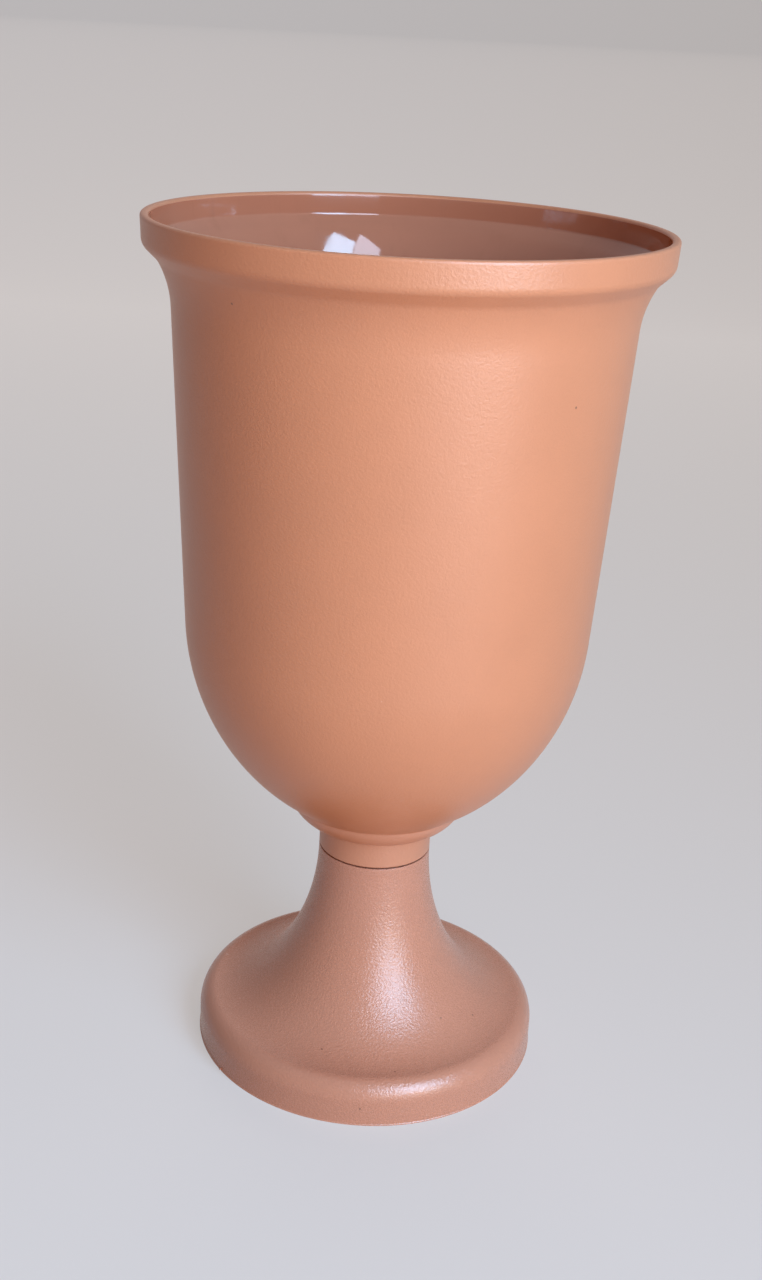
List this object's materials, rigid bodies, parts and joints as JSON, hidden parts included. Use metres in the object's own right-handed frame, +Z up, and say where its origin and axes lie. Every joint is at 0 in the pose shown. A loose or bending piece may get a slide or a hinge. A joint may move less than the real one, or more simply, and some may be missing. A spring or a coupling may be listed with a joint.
{
  "type": "decorative vase",
  "caption": "Goblet-shaped moulded plastic vase: a deep cup with a banded rim on a separate hollow trumpet foot, joined by a short push-fit sleeve.",
  "frame": {"origin": "centre of the circle on which the foot's rim rests", "axes": "+Z up along the axis of the turned shape; +X and +Y are any two square directions across it"},
  "size_m": [0.17, 0.17, 0.2985],
  "materials": {
    "foot_plastic": "satin, finely grained",
    "bowl_plastic": "satin and finely grained outside, smoother and glossier inside"
  },
  "bodies": {
    "foot": {"foot": "foot_plastic"},
    "bowl": {"bowl": "bowl_plastic"}
  },
  "joints": [
    {"name": "bowl_lift", "type": "slide", "parent": "foot", "child": "bowl", "axis": [0, 0, 1], "range_m": [0, 0.012]}
  ]
}
